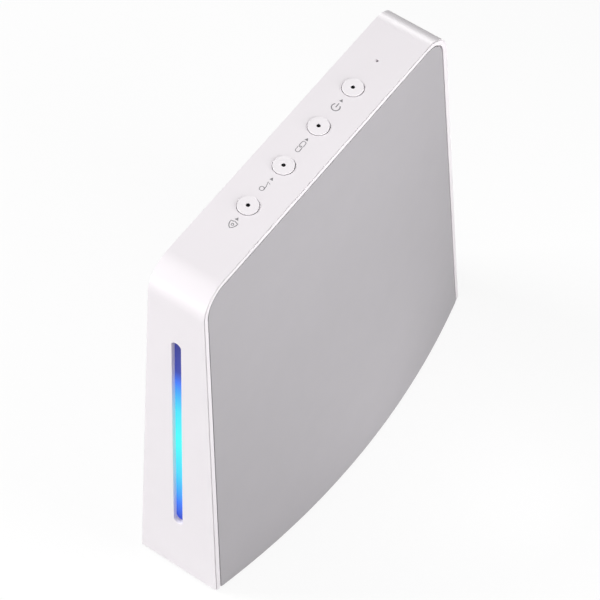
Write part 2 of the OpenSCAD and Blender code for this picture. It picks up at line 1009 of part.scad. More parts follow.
housing();
cover_left();
cover_right();
panel_left();
panel_right();
base();
feet();
base_screws();
ballast();
light_bar();
light_board();
leds();
light_screws();
light_link();
button_shield();
button_note();
button_chain();
button_power();
dot_shield();
dot_note();
dot_chain();
dot_power();
plunger_shield();
plunger_note();
plunger_chain();
plunger_power();
button_board();
switches();
button_screws();
button_header();
microphone();
mic_gasket();
main_board();
soc_shield();
thermal_pad();
heat_spreader();
radio_shield();
antenna_front();
antenna_rear();
buzzer();
capacitors();
rj45_jack();
rj45_contacts();
usb_a_socket();
usb_a_tongue();
usb_c_socket();
usb_c_tongue();
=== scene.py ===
"""Looks of a smart home hub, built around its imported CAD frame.

The frame is in metres, +Z up, with the front towards -Y. Shapes here are drawn in millimetres and
scaled to metres when their object is made.
"""

import math

import bmesh
import bpy
from mathutils import Matrix, Vector


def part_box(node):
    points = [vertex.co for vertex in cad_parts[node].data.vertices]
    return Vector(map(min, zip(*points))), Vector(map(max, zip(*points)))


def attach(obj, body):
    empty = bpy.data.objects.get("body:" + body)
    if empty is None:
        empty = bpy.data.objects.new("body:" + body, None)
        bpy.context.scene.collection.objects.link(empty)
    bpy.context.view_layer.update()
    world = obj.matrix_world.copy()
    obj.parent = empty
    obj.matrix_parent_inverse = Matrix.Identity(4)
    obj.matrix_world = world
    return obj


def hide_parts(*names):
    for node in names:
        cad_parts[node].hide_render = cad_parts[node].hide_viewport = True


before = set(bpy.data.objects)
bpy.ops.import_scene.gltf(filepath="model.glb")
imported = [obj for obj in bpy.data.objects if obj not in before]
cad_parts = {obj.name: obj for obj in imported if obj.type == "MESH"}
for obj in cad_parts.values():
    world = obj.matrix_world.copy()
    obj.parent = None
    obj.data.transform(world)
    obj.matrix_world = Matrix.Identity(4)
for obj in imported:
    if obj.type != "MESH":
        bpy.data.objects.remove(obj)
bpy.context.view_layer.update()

# Sizes of the hub in millimetres, the same as in the part's source
HEIGHT = 108.0
BASE_LENGTH = 99.7
TOP_LENGTH = 87.0
TOP_WIDTH = 13.8
BASE_END_WIDTH = 21.4
BASE_MID_WIDTH = 33.9
CORNER_RADIUS = 7.2
FOOT_STAND = 0.6
WALL = 1.6
LIP = 0.7
RIM = 1.35
PANEL_SET = 0.05
PANEL_POCKET = 0.85
COVER_DEPTH = 2.05
FIT = 0.15
SLOT_LENGTH = 69.0
SLOT_WIDTH = 2.5
SLOT_MIDDLE = 54.25
BUTTON_RADIUS = 2.35
BUTTON_PROUD = 0.3
BUTTON_DOME = 60.0
BUTTON_PITCH = 12.5
FLANGE_RADIUS = BUTTON_RADIUS + 0.7
FLANGE_HEIGHT = 0.7
FLANGE_GAP = 0.1
STEM_RADIUS = 1.2
DOT_RADIUS = 0.45
MIC_RADIUS = 0.35
MIC_PLACE = 27.7
SOCKET_GAP = 0.2
RJ45_MIDDLE, RJ45_WIDTH, RJ45_HEIGHT = 19.0, 16.0, 13.4
USB_A_MIDDLE, USB_A_WIDTH, USB_A_HEIGHT = 43.0, 13.2, 5.9
USB_C_MIDDLE, USB_C_WIDTH, USB_C_HEIGHT = 64.0, 8.94, 3.26
FOOT_RADIUS = 4.0
SCREW_HEAD_RADIUS = 1.9

# Fine edges and recesses that the pieces show, in millimetres
BAND_STRIP = 0.1
BAND_EDGE = 0.03
GROOVE = 0.2
LAP_DEPTH = 0.4
PANEL_SEAM = 0.3
PANEL_BACK_GAP = 0.01
EDGE = 0.06
EDGE_MIDDLE = 0.29 * EDGE
HOLE_EDGE = 0.05
SLOT_FLARE = 0.5
SLOT_FLARE_DEPTH = 0.7
DIFFUSER_EDGE = 0.06
LIT_DEPTH = WALL - 0.02
BUTTON_SEAM = 0.13
CAP_EDGE = 0.07
CAP_UNDERCUT = -0.05
CAP_NECK = 1.9
CAP_CREASE = 0.03
CAP_BORE = DOT_RADIUS + 0.02
WINDOW_EDGE = 0.08
WINDOW_TOP = BUTTON_PROUD - 0.08
FOOT_EDGE = 0.35
FOOT_HOLLOW = 0.12
FOOT_RING = 1.1
FOOT_SLOPE = 0.2
SCREW_EDGE = 0.1
CROSS_WIDTH = 0.5
CROSS_LENGTH = 2.2
CROSS_DEPTH = 0.6

# Printed marks, in millimetres: thickness of the ink, how far it reaches into the top, and its lines
INK = 0.015
INK_ROOT = 0.02
FINE_LINE = 0.15
SHIELD_LINE = 0.19
POWER_LINE = 0.23
MARK_SHIFT = {"shield": (0.15, 0.08), "note": (0.0, 0.09), "chain": (0.0, 0.09), "power": (0.0, 0.09)}
ARROW_PLACE = {"shield": -3.62, "note": -3.88, "chain": -3.88, "power": -3.88}
ARROW_LENGTH = 0.7
ARROW_HALF_WIDTH = 0.42
ARROW_TIP = 0.02

# Fineness of the meshes
SIDE_STEPS = 10
ARC_STEPS = 24
TOP_STEPS = 6
PANEL_ROWS = 24
PANEL_COLUMNS = 48
TURN_STEPS = 96
DOME_STEPS = 10
SHARP_ANGLE = 60.0
FLAT_ANGLE = 0.5
WELD = 1e-5
CAD_WELD = 1e-4
ON_AXIS = 1e-6

# Values that follow from the sizes
BODY_HEIGHT = HEIGHT - FOOT_STAND
LEAN = math.atan((BASE_LENGTH - TOP_LENGTH) / 2 / BODY_HEIGHT)
BUTTON_NAMES = ("shield", "note", "chain", "power")
BUTTON_PLACES = [(i - 1.5) * BUTTON_PITCH for i in range(4)]
MM = 0.001


# Form of the body

def half_length(z):
    """Half the outer length at height z."""
    return BASE_LENGTH / 2 - (z - FOOT_STAND) * math.tan(LEAN)


def flank(y, z):
    """Half the outer width at length y and height z."""
    share = (z - FOOT_STAND) / BODY_HEIGHT
    end = BASE_END_WIDTH / 2 + (TOP_WIDTH - BASE_END_WIDTH) / 2 * share
    bow = (BASE_MID_WIDTH - BASE_END_WIDTH) / 2 * (1 - share)
    return end + bow * (1 - (y / half_length(z)) ** 2)


def corner(inset):
    """Radius, length and height of the centre of the rounded top corners, moved inwards."""
    radius = CORNER_RADIUS - inset
    centre_z = HEIGHT - inset - radius
    centre_y = half_length(centre_z) - (inset + radius) / math.cos(LEAN)
    return radius, centre_y, centre_z


def rear_edge(inset, steps):
    """Points (y, z) up the rear edge of the side outline, in that many steps, and round its top corner."""
    radius, centre_y, centre_z = corner(inset)
    high = centre_z + radius * math.sin(LEAN)
    points = []
    for i in range(steps):
        z = FOOT_STAND + (high - FOOT_STAND) * i / steps
        points.append((half_length(z) - inset / math.cos(LEAN), z))
    for i in range(ARC_STEPS + 1):
        angle = LEAN + (math.pi / 2 - LEAN) * i / ARC_STEPS
        points.append((centre_y + radius * math.cos(angle), centre_z + radius * math.sin(angle)))
    return points


def outline(inset):
    """Points (y, z) of the side outline: up the front, along the top and down the rear."""
    rear = rear_edge(inset, SIDE_STEPS)
    front = [(-y, z) for y, z in rear]
    end_y, top_z = rear[-1]
    top = [(end_y * (2 * i / TOP_STEPS - 1), top_z) for i in range(1, TOP_STEPS)]
    return front + top + rear[::-1]


def on_front():
    """Matrix of the leaning front: +Y runs into the hub, Z = 0 at the middle of the light slot."""
    place = Matrix.Translation((0, -half_length(SLOT_MIDDLE), SLOT_MIDDLE))
    return place @ Matrix.Rotation(-LEAN, 4, "X")


# Mesh helpers, in millimetres

def new_object(name, vertices, faces):
    """Object from points and faces, with its normals turned outwards."""
    mesh = bpy.data.meshes.new(name)
    mesh.from_pydata([tuple(v) for v in vertices], [], faces)
    shape = bmesh.new()
    shape.from_mesh(mesh)
    bmesh.ops.remove_doubles(shape, verts=shape.verts, dist=WELD)
    bmesh.ops.delete(shape, geom=[v for v in shape.verts if not v.link_faces], context="VERTS")
    bmesh.ops.recalc_face_normals(shape, faces=shape.faces)
    shape.to_mesh(mesh)
    shape.free()
    obj = bpy.data.objects.new(name, mesh)
    bpy.context.scene.collection.objects.link(obj)
    return obj


def take_modifiers(obj):
    """Puts what the modifiers make into the object's own mesh."""
    bpy.context.view_layer.update()
    graph = bpy.context.evaluated_depsgraph_get()
    made = bpy.data.meshes.new_from_object(obj.evaluated_get(graph))
    obj.modifiers.clear()
    obj.data = made


def carve(obj, cutters):
    """Cuts the cutters out of the object and removes them."""
    for cutter in cutters:
        cut = obj.modifiers.new("cut", "BOOLEAN")
        cut.operation = "DIFFERENCE"
        cut.solver = "EXACT"
        cut.object = cutter
    take_modifiers(obj)
    for cutter in cutters:
        bpy.data.objects.remove(cutter)


def finish_edges(obj, width, angle=40.0, segments=3):
    """Rounds the edges a little and smooths the shading, except over sharp edges and large flat faces."""
    if width > 0:
        bevel = obj.modifiers.new("edges", "BEVEL")
        bevel.width = width
        bevel.segments = segments
        bevel.limit_method = "ANGLE"
        bevel.angle_limit = math.radians(angle)
        take_modifiers(obj)
    obj.data.set_sharp_from_angle(angle=math.radians(SHARP_ANGLE))
    obj.data.polygons.foreach_set("use_smooth", [True] * len(obj.data.polygons))
    normals = obj.modifiers.new("normals", "WEIGHTED_NORMAL")
    normals.keep_sharp = True
    take_modifiers(obj)


def dress(obj, body, slot, paint, *nodes):
    """Scales a finished piece to metres and hangs it in the frame in place of CAD nodes."""
    obj.data.transform(Matrix.Scale(MM, 4))
    obj.data.materials.clear()
    for one in paint if isinstance(paint, tuple) else (paint,):
        obj.data.materials.append(one)
    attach(obj, body)
    if nodes:
        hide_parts(*nodes)
    return obj


def swept(name, section):
    """Closed section of (side, depth, inset) points, swept along the side outline."""
    paths = {inset: outline(inset) for inset in {point[2] for point in section}}
    count = len(section)
    stations = len(paths[section[0][2]])
    vertices = []
    for k in range(stations):
        for side, depth, inset in section:
            y, z = paths[inset][k]
            vertices.append((side * (flank(y, z) - depth), y, z))
    faces = [list(range(count)), list(range((stations - 1) * count, stations * count))]
    for k in range(stations - 1):
        for i in range(count):
            j = (i + 1) % count
            faces.append((k * count + i, k * count + j, (k + 1) * count + j, (k + 1) * count + i))
    return new_object(name, vertices, faces)


def side_rings(side, inset, depth):
    """Rows of points over one side inside its outline, at a depth below the outer surface."""
    rows = []
    for end, z in rear_edge(inset, PANEL_ROWS):
        spread = [end * (2 * c / PANEL_COLUMNS - 1) for c in range(PANEL_COLUMNS + 1)]
        rows.append([(side * (flank(y, z) - depth), y, z) for y in spread])
    return rows


def side_plate(name, side, section):
    """Bowed plate over one side, flat at its foot.

    The section gives (inset, depth) points from the outer face, round the edge, to the back.
    """
    layers = [side_rings(side, inset, depth) for inset, depth in section]
    rows, columns, last = len(layers[0]), PANEL_COLUMNS + 1, len(layers) - 1
    vertices = [point for layer in layers for row in layer for point in row]

    def at(layer, row, column):
        return (layer * rows + row) * columns + column

    faces = []
    for layer in (0, last):
        for r in range(rows - 1):
            for c in range(columns - 1):
                faces.append((at(layer, r, c), at(layer, r, c + 1),
                              at(layer, r + 1, c + 1), at(layer, r + 1, c)))
    edge = [(r, 0) for r in range(rows)]
    edge += [(rows - 1, c) for c in range(1, columns)]
    edge += [(r, columns - 1) for r in range(rows - 2, -1, -1)]
    for layer in range(last):
        for here, there in zip(edge, edge[1:]):
            faces.append((at(layer, *here), at(layer, *there),
                          at(layer + 1, *there), at(layer + 1, *here)))
    foot = [at(0, 0, c) for c in range(columns)]
    foot += [at(layer, 0, columns - 1) for layer in range(1, last)]
    foot += [at(last, 0, c) for c in range(columns - 1, -1, -1)]
    foot += [at(layer, 0, 0) for layer in range(last - 1, 0, -1)]
    faces.append(foot)
    return new_object(name, vertices, faces)


def turned(name, profile, place=(0, 0, 0), steps=TURN_STEPS):
    """Solid of revolution about Z from (radius, height) points, first and last on the axis or closed."""
    vertices, rings, faces = [], [], []
    for radius, height in profile:
        if radius < ON_AXIS:
            rings.append([len(vertices)])
            vertices.append((place[0], place[1], place[2] + height))
            continue
        rings.append(list(range(len(vertices), len(vertices) + steps)))
        for i in range(steps):
            angle = 2 * math.pi * i / steps
            vertices.append((place[0] + radius * math.cos(angle),
                             place[1] + radius * math.sin(angle), place[2] + height))
    closed = len(rings[0]) > 1
    pairs = list(zip(rings, rings[1:])) + ([(rings[-1], rings[0])] if closed else [])
    for low, high in pairs:
        for i in range(steps):
            j = (i + 1) % steps
            quad = [low[i % len(low)], low[j % len(low)], high[j % len(high)], high[i % len(high)]]
            faces.append(list(dict.fromkeys(quad)))
    return new_object(name, vertices, faces)


def rounded(centre_r, centre_z, radius, start, end, steps=6):
    """Points of an arc in a turned profile, angles in degrees from the outward direction."""
    points = []
    for i in range(steps + 1):
        angle = math.radians(start + (end - start) * i / steps)
        points.append((centre_r + radius * math.cos(angle), centre_z + radius * math.sin(angle)))
    return points


def lofted(name, rings, matrix):
    """Body through outlines (depth, points), with a point (a, b) at (a, depth, b), placed by a matrix."""
    count = len(rings[0][1])
    vertices = [matrix @ Vector((a, depth, b)) for depth, points in rings for a, b in points]
    last = len(vertices) - count
    faces = [list(range(count)), list(range(last, last + count))]
    for start in range(0, last, count):
        for i in range(count):
            j = (i + 1) % count
            faces.append((start + i, start + j, start + count + j, start + count + i))
    return new_object(name, vertices, faces)


def prism(name, points, low, high, matrix):
    """Flat outline drawn out from one depth to another, placed by a matrix."""
    return lofted(name, [(low, points), (high, points)], matrix)


def box_points(width, length):
    """Corners of a rectangle round the origin."""
    a, b = width / 2, length / 2
    return [(-a, -b), (a, -b), (a, b), (-a, b)]


def stadium_points(width, length, steps=24):
    """Points of a round-ended bar that stands upright round the origin."""
    radius, straight = width / 2, (length - width) / 2
    points = []
    for start, middle in ((0, straight), (180, -straight)):
        for i in range(steps + 1):
            angle = math.radians(start + 180 * i / steps)
            points.append((radius * math.cos(angle), middle + radius * math.sin(angle)))
    return points


def refined(name, node, width):
    """Copy of a CAD node in millimetres with its flat faces joined and its edges rounded."""
    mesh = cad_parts[node].data.copy()
    mesh.transform(Matrix.Scale(1 / MM, 4))
    shape = bmesh.new()
    shape.from_mesh(mesh)
    bmesh.ops.remove_doubles(shape, verts=shape.verts, dist=CAD_WELD)
    flat = math.radians(FLAT_ANGLE)
    bmesh.ops.dissolve_limit(shape, angle_limit=flat, verts=shape.verts, edges=shape.edges)
    bmesh.ops.recalc_face_normals(shape, faces=shape.faces)
    shape.to_mesh(mesh)
    shape.free()
    if "custom_normal" in mesh.attributes:
        mesh.attributes.remove(mesh.attributes["custom_normal"])
    obj = bpy.data.objects.new(name, mesh)
    bpy.context.scene.collection.objects.link(obj)
    finish_edges(obj, width, segments=2)
    return obj


# Materials: the range of a noise that is used
NOISE_LOW, NOISE_HIGH = 0.3, 0.7

# Moulded surfaces: clouds in the shade, as many grains wide, and unevenness of the gloss
CLOUD_GRAINS = 40
GLOSS_SPREAD = 0.04
GRAIN_STRENGTH = 0.25

# Brushed surfaces: lines in millimetres, drawn out by the stretch
BRUSH_STRETCH = 0.04
BRUSH_LINE = 0.12
BRUSH_SHADE = 0.92
BRUSH_GLOSS = 0.06
BRUSH_STRENGTH = 0.2
BRUSH_RELIEF = 0.01


def shader_tree(name):
    """New material with its node tree, its shader and the place on the object in metres."""
    made = bpy.data.materials.new(name)
    made.use_nodes = True
    tree = made.node_tree
    shader = tree.nodes["Principled BSDF"]
    place = tree.nodes.new("ShaderNodeTexCoord").outputs["Object"]
    return made, tree, shader, place


def noise(tree, place, grain, detail=3.0):
    """Noise whose grains are about that many millimetres wide."""
    node = tree.nodes.new("ShaderNodeTexNoise")
    node.inputs["Scale"].default_value = 1 / (grain * MM)
    node.inputs["Detail"].default_value = detail
    tree.links.new(place, node.inputs["Vector"])
    return node.outputs["Fac"]


def ranged(tree, value, low, high):
    """Value from a noise, spread from low to high."""
    node = tree.nodes.new("ShaderNodeMapRange")
    node.inputs["From Min"].default_value = NOISE_LOW
    node.inputs["From Max"].default_value = NOISE_HIGH
    node.inputs["To Min"].default_value = low
    node.inputs["To Max"].default_value = high
    tree.links.new(value, node.inputs["Value"])
    return node.outputs["Result"]


def tinted(tree, value, dark, light):
    """Colour between two shades."""
    ramp = tree.nodes.new("ShaderNodeValToRGB")
    ramp.color_ramp.elements[0].position = NOISE_LOW
    ramp.color_ramp.elements[0].color = (*dark, 1)
    ramp.color_ramp.elements[1].position = NOISE_HIGH
    ramp.color_ramp.elements[1].color = (*light, 1)
    tree.links.new(value, ramp.inputs["Fac"])
    return ramp.outputs["Color"]


def bumped(tree, shader, value, strength, height):
    """Relief from a value, its height in millimetres."""
    bump = tree.nodes.new("ShaderNodeBump")
    bump.inputs["Strength"].default_value = strength
    bump.inputs["Distance"].default_value = height * MM
    tree.links.new(value, bump.inputs["Height"])
    tree.links.new(bump.outputs["Normal"], shader.inputs["Normal"])


def surface(name, colour, rough, grain, relief, spread=0.02, specular=0.5):
    """Moulded surface: a little uneven in shade and gloss, with a fine grain."""
    made, tree, shader, place = shader_tree(name)
    cloud = noise(tree, place, grain * CLOUD_GRAINS, detail=2.0)
    fine = noise(tree, place, grain)
    dark = [c * (1 - spread) for c in colour]
    light = [min(1.0, c * (1 + spread)) for c in colour]
    tree.links.new(tinted(tree, cloud, dark, light), shader.inputs["Base Color"])
    gloss = ranged(tree, fine, rough - GLOSS_SPREAD, rough + GLOSS_SPREAD)
    tree.links.new(gloss, shader.inputs["Roughness"])
    shader.inputs["Specular IOR Level"].default_value = specular
    bumped(tree, shader, fine, GRAIN_STRENGTH, relief)
    return made


def brushed(name, colour, rough):
    """Metal with fine lines drawn along the length of the hub."""
    made, tree, shader, place = shader_tree(name)
    stretch = tree.nodes.new("ShaderNodeMapping")
    stretch.inputs["Scale"].default_value = (1.0, BRUSH_STRETCH, 1.0)
    tree.links.new(place, stretch.inputs["Vector"])
    lines = noise(tree, stretch.outputs["Vector"], BRUSH_LINE)
    dark = [c * BRUSH_SHADE for c in colour]
    tree.links.new(tinted(tree, lines, dark, colour), shader.inputs["Base Color"])
    gloss = ranged(tree, lines, rough - BRUSH_GLOSS, rough + BRUSH_GLOSS)
    tree.links.new(gloss, shader.inputs["Roughness"])
    shader.inputs["Metallic"].default_value = 1.0
    bumped(tree, shader, lines, BRUSH_STRENGTH, BRUSH_RELIEF)
    return made


def circuit_board(name):
    """Green lacquer with tracks that show as a fine brick pattern under it."""
    made, tree, shader, place = shader_tree(name)
    turn = tree.nodes.new("ShaderNodeMapping")
    turn.inputs["Rotation"].default_value = (0, math.radians(90), 0)
    tree.links.new(place, turn.inputs["Vector"])
    tracks = tree.nodes.new("ShaderNodeTexBrick")
    tracks.inputs["Scale"].default_value = 250.0
    tracks.inputs["Mortar Size"].default_value = 0.03
    tracks.inputs["Color1"].default_value = (0.010, 0.090, 0.035, 1)
    tracks.inputs["Color2"].default_value = (0.014, 0.110, 0.045, 1)
    tracks.inputs["Mortar"].default_value = (0.030, 0.200, 0.080, 1)
    tree.links.new(turn.outputs["Vector"], tracks.inputs["Vector"])
    tree.links.new(tracks.outputs["Color"], shader.inputs["Base Color"])
    fine = noise(tree, place, 0.4)
    tree.links.new(ranged(tree, fine, 0.25, 0.4), shader.inputs["Roughness"])
    bumped(tree, shader, tracks.outputs["Fac"], 0.3, 0.03)
    return made


# Height above the floor in millimetres and colour of the light bar from its lower to its upper end
GLOW = (
    (20.0, (0.03, 0.06, 0.60)),
    (26.0, (0.05, 0.20, 0.95)),
    (38.0, (0.07, 0.70, 1.00)),
    (51.0, (0.07, 1.00, 1.00)),
    (62.0, (0.07, 0.78, 1.00)),
    (73.0, (0.06, 0.20, 0.95)),
    (77.0, (0.05, 0.07, 0.42)),
    (89.0, (0.04, 0.04, 0.24)),
)


def glow(name):
    """Lit diffuser: cyan in the middle, blue to navy towards the ends."""
    made, tree, shader, place = shader_tree(name)
    parts = tree.nodes.new("ShaderNodeSeparateXYZ")
    tree.links.new(place, parts.inputs["Vector"])
    low, high = GLOW[0][0], GLOW[-1][0]
    along = tree.nodes.new("ShaderNodeMapRange")
    along.inputs["From Min"].default_value = low * MM
    along.inputs["From Max"].default_value = high * MM
    tree.links.new(parts.outputs["Z"], along.inputs["Value"])
    ramp = tree.nodes.new("ShaderNodeValToRGB")
    stops = ramp.color_ramp.elements
    for i, (z, colour) in enumerate(GLOW):
        stop = stops[i] if i < 2 else stops.new(1.0)
        stop.position = (z - low) / (high - low)
        stop.color = (*colour, 1)
    tree.links.new(along.outputs["Result"], ramp.inputs["Fac"])
    tree.links.new(ramp.outputs["Color"], shader.inputs["Emission Color"])
    shader.inputs["Emission Strength"].default_value = 1.0
    shader.inputs["Specular IOR Level"].default_value = 0.1
    fine = noise(tree, place, 0.3)
    skin = tinted(tree, fine, (0.006, 0.008, 0.010), (0.010, 0.012, 0.014))
    tree.links.new(skin, shader.inputs["Base Color"])
    tree.links.new(ranged(tree, fine, 0.45, 0.6), shader.inputs["Roughness"])
    return made


# Name, colour and roughness, for a surface also its grain and relief in millimetres
WHITE = surface("white_moulding", (0.86, 0.822, 0.85), 0.42, 0.25, 0.006, spread=0.006, specular=0.2)
GREY = surface("grey_panel_paint", (0.417, 0.400, 0.420), 0.55, 0.2, 0.005, spread=0.01, specular=0.3)
CAP = surface("button_moulding", (0.88, 0.845, 0.87), 0.36, 0.2, 0.004, spread=0.006)
WINDOW = surface("dark_window", (0.004, 0.004, 0.005), 0.35, 0.3, 0.002, spread=0.2, specular=0.04)
PRINT = surface("grey_ink", (0.20, 0.195, 0.205), 0.6, 0.15, 0.003, spread=0.06)
UNDERSIDE = surface("base_moulding", (0.62, 0.60, 0.62), 0.55, 0.35, 0.02, spread=0.02)
RUBBER = surface("rubber", (0.028, 0.028, 0.030), 0.8, 0.3, 0.03, spread=0.15)
BLACK = surface("black_moulding", (0.014, 0.014, 0.015), 0.45, 0.25, 0.012, spread=0.15)
MILKY = surface("milky_diffuser", (0.72, 0.75, 0.78), 0.5, 0.4, 0.01)
IVORY = surface("ivory_moulding", (0.70, 0.66, 0.52), 0.5, 0.3, 0.01)
SWITCH = surface("switch_moulding", (0.10, 0.10, 0.11), 0.5, 0.3, 0.01, spread=0.08)
LAMP = surface("lamp_resin", (0.80, 0.78, 0.62), 0.35, 0.3, 0.004)
PAD = surface("soft_pad", (0.42, 0.46, 0.52), 0.85, 0.5, 0.04, spread=0.06)
SLEEVE = surface("capacitor_sleeve", (0.020, 0.035, 0.16), 0.3, 0.3, 0.004, spread=0.1)
SCREW = brushed("screw_steel", (0.55, 0.55, 0.56), 0.35)
WEIGHT = brushed("weight_steel", (0.40, 0.41, 0.43), 0.45)
TIN = brushed("tinned_can", (0.62, 0.62, 0.60), 0.32)
ALUMINIUM = brushed("spreader_aluminium", (0.78, 0.79, 0.80), 0.38)
BRASS = brushed("antenna_brass", (0.72, 0.52, 0.22), 0.3)
GOLD = brushed("contact_gold", (0.86, 0.62, 0.22), 0.25)
SHELL = brushed("socket_shell", (0.66, 0.66, 0.67), 0.28)
BOARD = circuit_board("circuit_board")
LIT = glow("lit_diffuser")


# Housing: the white band with its openings

def slot_cutter():
    """Cutter of the light slot, whose lower end opens towards the front."""
    outside, inside = -1.0, 4.0
    points = stadium_points(SLOT_WIDTH, SLOT_LENGTH)
    drop = SLOT_FLARE * (SLOT_FLARE_DEPTH - outside) / SLOT_FLARE_DEPTH
    lowered = [(a, b - drop if b < 0 else b) for a, b in points]
    return lofted("cut", [(outside, lowered), (SLOT_FLARE_DEPTH, points), (inside, points)], on_front())


def hole_cutter(radius, y, steps=TURN_STEPS):
    """Cutter of a round hole in the top."""
    inside, outside = -4.0, 3.0
    profile = [(0, inside), (radius, inside), (radius, outside), (0, outside)]
    return turned("cut", profile, (0, y, HEIGHT), steps)


def socket_cutter(middle, points):
    """Cutter of an opening in the rear for a socket at that height."""
    reach = 5.0
    return prism("cut", points, -reach, reach, Matrix.Translation((0, half_length(middle), middle)))


def band():
    """Front, top and rear in one strip, with a tapered edge that the side covers lap under."""
    inside = COVER_DEPTH + FIT
    half = [(BAND_EDGE, 0.0), (0.0, BAND_EDGE), (0.0, BAND_STRIP), (LAP_DEPTH, LIP),
            (inside, LIP), (inside, WALL)]
    section = [(1, depth, inset) for depth, inset in half]
    section += [(-1, depth, inset) for depth, inset in reversed(half)]
    obj = swept("band_shell", section)
    gap = 2 * SOCKET_GAP
    cutters = [slot_cutter()]
    cutters += [hole_cutter(BUTTON_RADIUS + BUTTON_SEAM, y) for y in BUTTON_PLACES]
    cutters.append(hole_cutter(MIC_RADIUS, MIC_PLACE, steps=32))
    cutters.append(socket_cutter(RJ45_MIDDLE, box_points(RJ45_HEIGHT + gap, RJ45_WIDTH + gap)))
    cutters.append(socket_cutter(USB_A_MIDDLE, box_points(USB_A_HEIGHT + gap, USB_A_WIDTH + gap)))
    cutters.append(socket_cutter(USB_C_MIDDLE, stadium_points(USB_C_HEIGHT + gap, USB_C_WIDTH + gap)))
    carve(obj, cutters)
    finish_edges(obj, HOLE_EDGE, angle=50.0)
    dress(obj, "hub", "white_plastic", WHITE, "housing")


# Side covers and panels

def cover(name, side):
    """Tray with the rim that shows round a panel."""
    start = BAND_STRIP + GROOVE
    lap = LIP + GROOVE
    section = [(RIM, PANEL_POCKET), (RIM, EDGE), (RIM - EDGE_MIDDLE, EDGE_MIDDLE), (RIM - EDGE, 0.0),
               (start + BAND_EDGE, 0.0), (start, BAND_EDGE), (lap, LAP_DEPTH), (lap, COVER_DEPTH)]
    obj = side_plate(name + "_rim", side, section)
    finish_edges(obj, 0)
    dress(obj, "hub", "white_plastic", WHITE, name)


def panel(name, side):
    """Bowed grey plate that lies in a side cover."""
    inset = RIM + PANEL_SEAM
    back = PANEL_POCKET - PANEL_BACK_GAP
    section = [(inset + EDGE, PANEL_SET), (inset, PANEL_SET + EDGE), (inset, back)]
    obj = side_plate(name + "_plate", side, section)
    finish_edges(obj, 0)
    dress(obj, "hub", "grey_panel", GREY, name)


# Light bar

def light_bar():
    """Diffuser whose tongue glows in the slot."""
    obj = refined("light_bar_tongue", "light_bar", DIFFUSER_EDGE)
    front = on_front().inverted()
    for face in obj.data.polygons:
        face.material_index = 0 if (front @ face.center).y < LIT_DEPTH else 1
    dress(obj, "hub", "diffuser", (LIT, MILKY), "light_bar")


# Buttons

def cap_profile(bottom):
    """Section of a button cap: bore, domed top, undercut neck, flange and stem, down to its bottom."""
    reach = BUTTON_RADIUS - CAP_EDGE
    profile = [(CAP_BORE, -WALL)]
    for i in range(DOME_STEPS + 1):
        r = CAP_BORE + i * (reach - CAP_BORE) / DOME_STEPS
        profile.append((r, BUTTON_PROUD - BUTTON_DOME + math.sqrt(BUTTON_DOME ** 2 - r * r)))
    rim_z = profile[-1][1] - CAP_EDGE
    profile += rounded(reach, rim_z, CAP_EDGE, 75, 0)
    flange_top = -WALL - FLANGE_GAP
    flange_bottom = flange_top - FLANGE_HEIGHT
    profile += [(BUTTON_RADIUS, CAP_UNDERCUT), (CAP_NECK, CAP_UNDERCUT), (CAP_NECK, flange_top)]
    profile += [(FLANGE_RADIUS, flange_top), (FLANGE_RADIUS, flange_bottom)]
    profile += [(STEM_RADIUS, flange_bottom), (STEM_RADIUS, bottom), (CAP_BORE, bottom)]
    return profile


def button(name, y):
    """Domed cap with its window. Both move together."""
    body = "button_" + name
    place = (0, y, HEIGHT)
    low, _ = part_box(body)
    cap = turned(body + "_cap", cap_profile((low / MM).z - HEIGHT), place)
    finish_edges(cap, CAP_CREASE)
    dress(cap, body, "button_white", CAP, body)
    profile = [(0, -WALL), (DOT_RADIUS, -WALL)]
    profile += rounded(DOT_RADIUS - WINDOW_EDGE, WINDOW_TOP - WINDOW_EDGE, WINDOW_EDGE, 0, 90)
    profile.append((0, WINDOW_TOP))
    window = turned("dot_" + name + "_window", profile, place, steps=48)
    finish_edges(window, 0)
    dress(window, body, "dark_window", WINDOW, "dot_" + name)


# Printed marks on the top: each is drawn round its button, +Y away from the front

def arc(x, y, radius, start, end, steps=24):
    """Points of an arc, angles in degrees."""
    turn = [math.radians(start + (end - start) * i / steps) for i in range(steps + 1)]
    return [(x + radius * math.cos(a), y + radius * math.sin(a)) for a in turn]


def shield_lines():
    """Shield with a ring in it. Lines of a mark are (points, closed, width)."""
    edge = [(0, -4.75), (0.42, -4.94), (0.85, -5.0), (0.83, -5.5)]
    edge += [(0.68, -5.95), (0.38, -6.38), (0, -6.68)]
    edge += [(-x, y) for x, y in reversed(edge[1:-1])]
    ring = arc(0, -5.68, 0.27, 0, 345)
    return [(edge, True, SHIELD_LINE), (ring, True, FINE_LINE)]


def note_lines():
    """Round head with a stem and a flag."""
    head = arc(-0.28, -7.4, 0.52, 0, 345)
    stem = [(0.25, -7.3), (0.13, -6.3), (-0.18, -5.25), (0.48, -5.58)]
    return [(head, True, FINE_LINE), (stem, False, FINE_LINE)]


def chain_lines():
    """Two open links, the lower one turned round the middle of the mark."""
    radius, middle = 0.48, -6.53
    upper = [(radius, -6.35), (radius, -5.47)] + arc(0, -5.47, radius, 0, 180)
    upper += [(-radius, -6.1)] + arc(0, -6.2, radius, 180, 295)
    lower = [(-x, 2 * middle - y) for x, y in upper]
    return [(upper, False, FINE_LINE), (lower, False, FINE_LINE)]


def power_lines():
    """Open ring with a bar in its gap."""
    ring = arc(0, -6.38, 0.93, 132, 408)
    bar = [(0, -5.15), (0, -6.42)]
    return [(ring, False, POWER_LINE), (bar, False, POWER_LINE)]


MARKS = {"shield": shield_lines, "note": note_lines, "chain": chain_lines, "power": power_lines}


